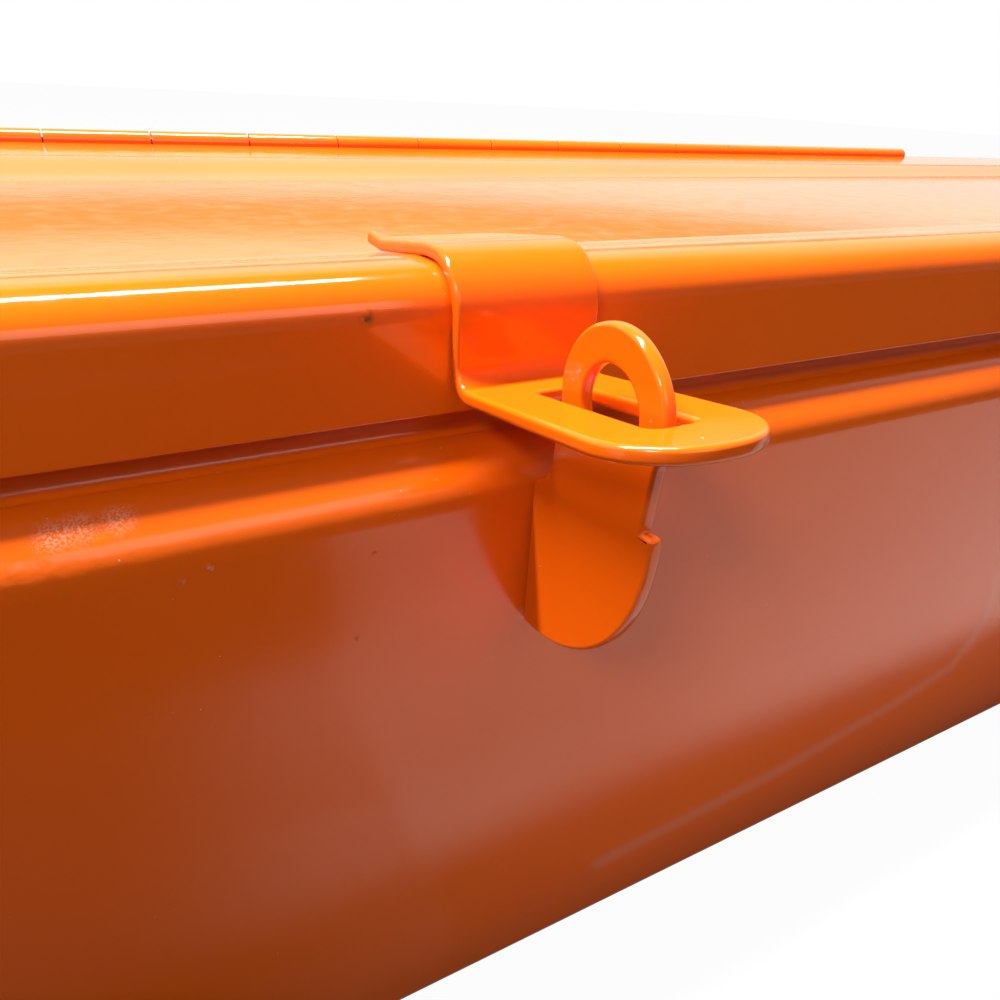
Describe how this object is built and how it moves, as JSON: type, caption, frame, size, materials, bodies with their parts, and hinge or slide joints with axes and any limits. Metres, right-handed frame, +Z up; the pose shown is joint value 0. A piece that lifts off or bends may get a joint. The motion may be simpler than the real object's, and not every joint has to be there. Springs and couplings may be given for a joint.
{
  "type": "toolbox",
  "caption": "Long low steel toolbox with a dished lid on a rear piano hinge, a front hasp tongue over a padlock staple, and drop handles on the ends.",
  "frame": {"origin": "centre of the base plate's flat underside, on the surface that the box stands on", "axes": "+X along the length, -Y out of the front with the hasp, +Z up"},
  "size_m": [0.7156, 0.1956, 0.1134],
  "materials": {
    "orange_enamel": "gloss",
    "pin_steel": "satin"
  },
  "bodies": {
    "box": {"body_shell": "orange_enamel", "base_plate": "orange_enamel", "staple_plate": "orange_enamel", "staple_weld": "orange_enamel", "hinge_body_leaf": "orange_enamel", "hinge_pin": "pin_steel", "handle_plate_right": "orange_enamel", "handle_plate_left": "orange_enamel", "handle_rivets_right": "orange_enamel", "handle_rivets_left": "orange_enamel", "handle_doubler_right": "orange_enamel", "handle_doubler_left": "orange_enamel"},
    "lid": {"lid_shell": "orange_enamel", "lid_rib": "orange_enamel", "hinge_lid_leaf": "orange_enamel", "hasp_plate": "orange_enamel"},
    "right_bail": {"bail_right": "orange_enamel"},
    "left_bail": {"bail_left": "orange_enamel"}
  },
  "joints": [
    {"name": "lid_hinge", "type": "hinge", "parent": "box", "child": "lid", "pos_m": [0.0045, 0.0753, 0.1108], "axis": [-1, 0, 0], "range_deg": [0, 180]},
    {"name": "right_bail_swing", "type": "hinge", "parent": "box", "child": "right_bail", "pos_m": [0.35258, 0, 0.066], "axis": [0, -1, 0], "range_deg": [0, 180]},
    {"name": "left_bail_swing", "type": "hinge", "parent": "box", "child": "left_bail", "pos_m": [-0.35258, 0, 0.066], "axis": [0, 1, 0], "range_deg": [0, 180]}
  ]
}
